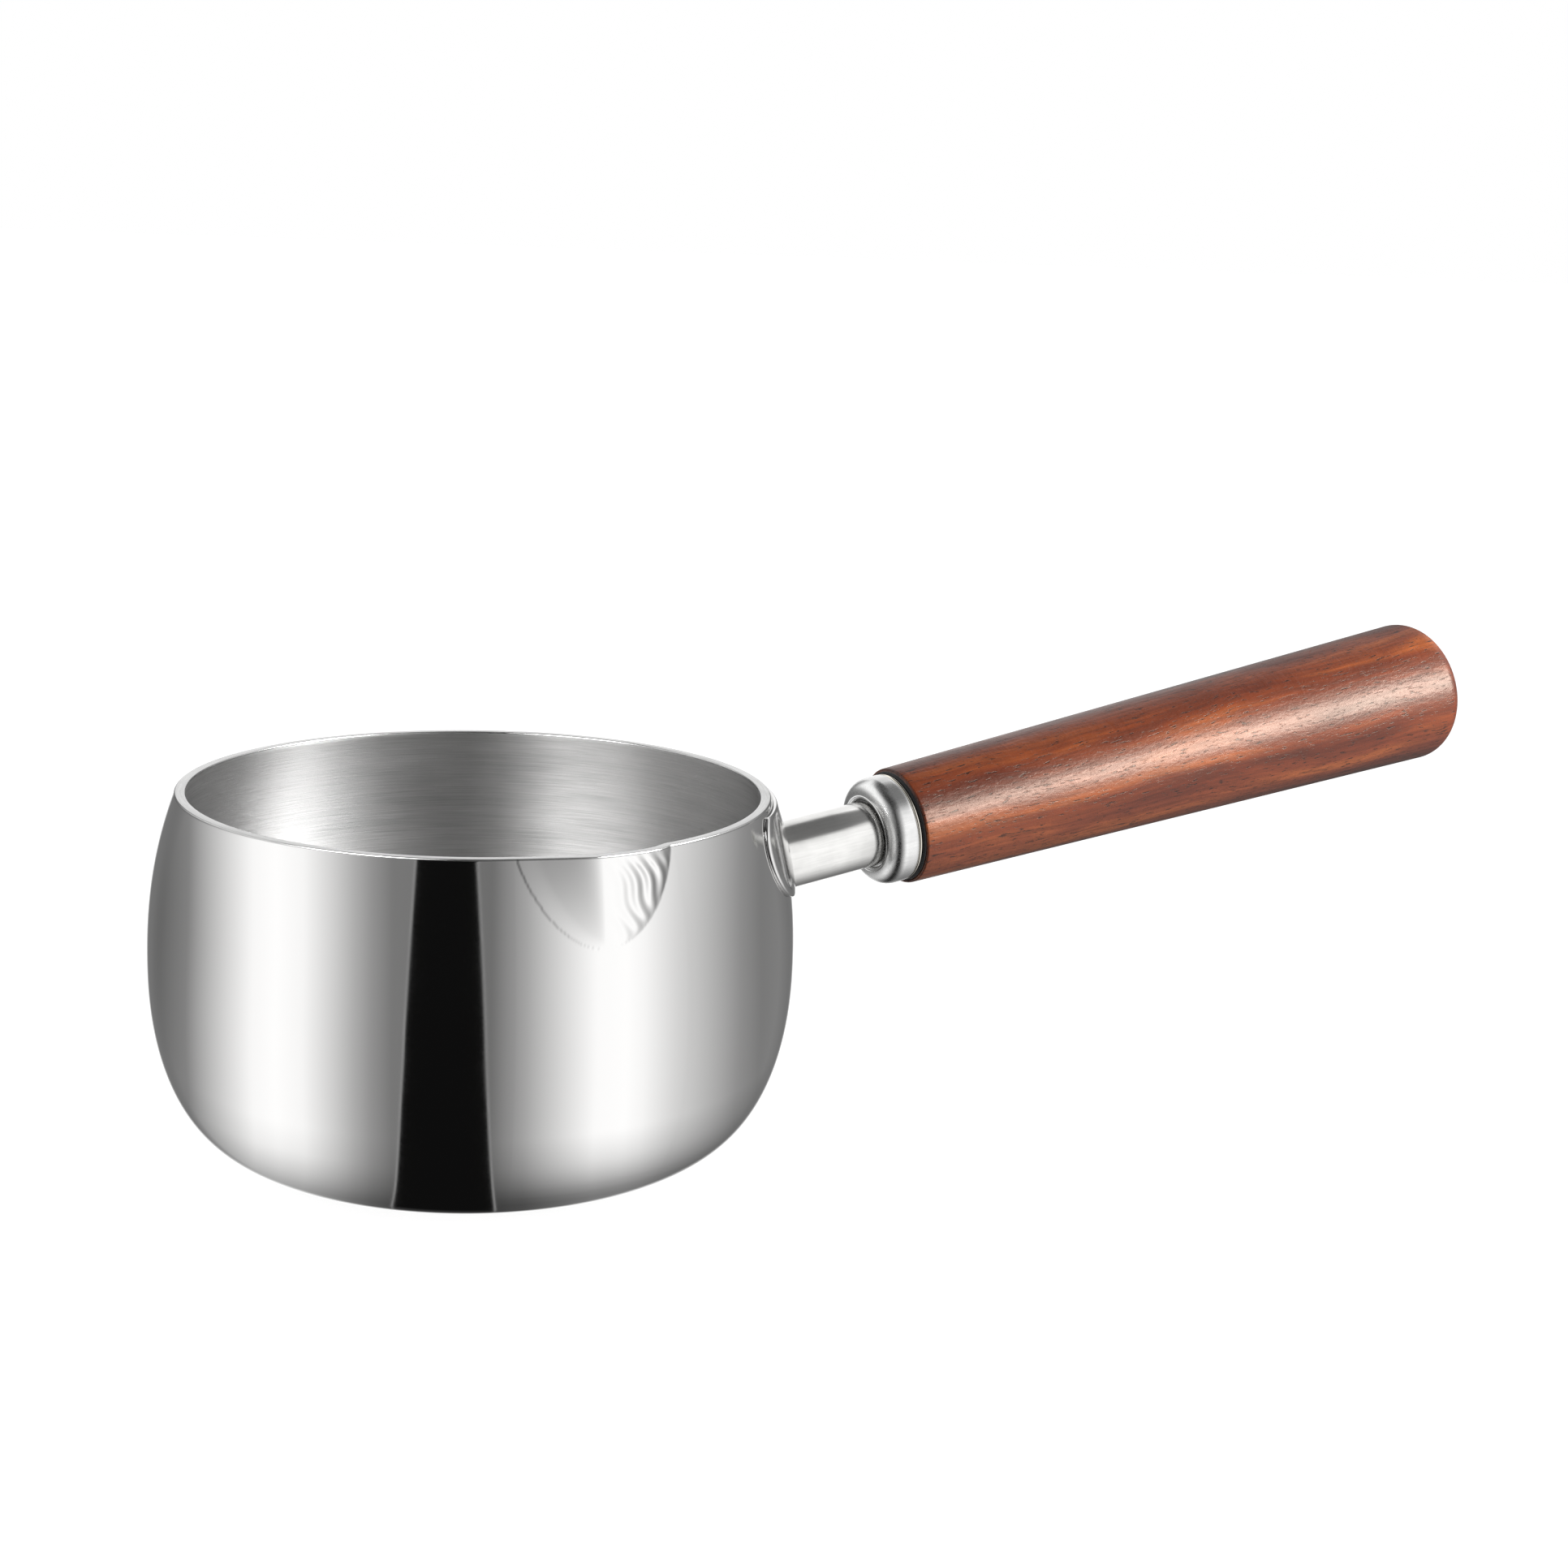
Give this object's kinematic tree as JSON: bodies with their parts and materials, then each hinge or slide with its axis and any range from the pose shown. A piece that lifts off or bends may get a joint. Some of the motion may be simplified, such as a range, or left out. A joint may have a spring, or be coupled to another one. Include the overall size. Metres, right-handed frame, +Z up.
{
  "type": "small pouring pot with handle",
  "caption": "Small round-bellied stainless steel pot with a pressed side spout and a straight turned wooden handle on a steel stem and ferrule.",
  "frame": {"origin": "centre of the pot's flat underside, on the surface that it stands on", "axes": "+Z up through the pot's centre line, +X towards the handle's far end, and the spout points towards -Y, turned 2 degrees away from the handle"},
  "size_m": [0.2878, 0.115, 0.0831],
  "materials": {
    "pot_steel": "mirror polished outside, brushed round and round inside",
    "bracket_steel": "bright polished",
    "stem_steel": "satin polished along its length",
    "plug_steel": "turned, hidden inside the stem",
    "ferrule_steel": "spun cup, satin polished",
    "washer_steel": "bright washer",
    "gasket_rubber": "matte black",
    "grip_wood": "reddish brown hardwood under satin lacquer",
    "bolt_steel": "zinc plated"
  },
  "bodies": {
    "root": {"pot_body": "pot_steel", "handle_bracket": "bracket_steel", "stem_tube": "stem_steel", "stem_plug": "plug_steel", "ferrule_cup": "ferrule_steel", "ferrule_washer": "washer_steel", "heat_gasket": "gasket_rubber", "grip": "grip_wood", "draw_bolt": "bolt_steel", "spring_washer": "bolt_steel", "flat_washer": "washer_steel"}
  },
  "joints": []
}
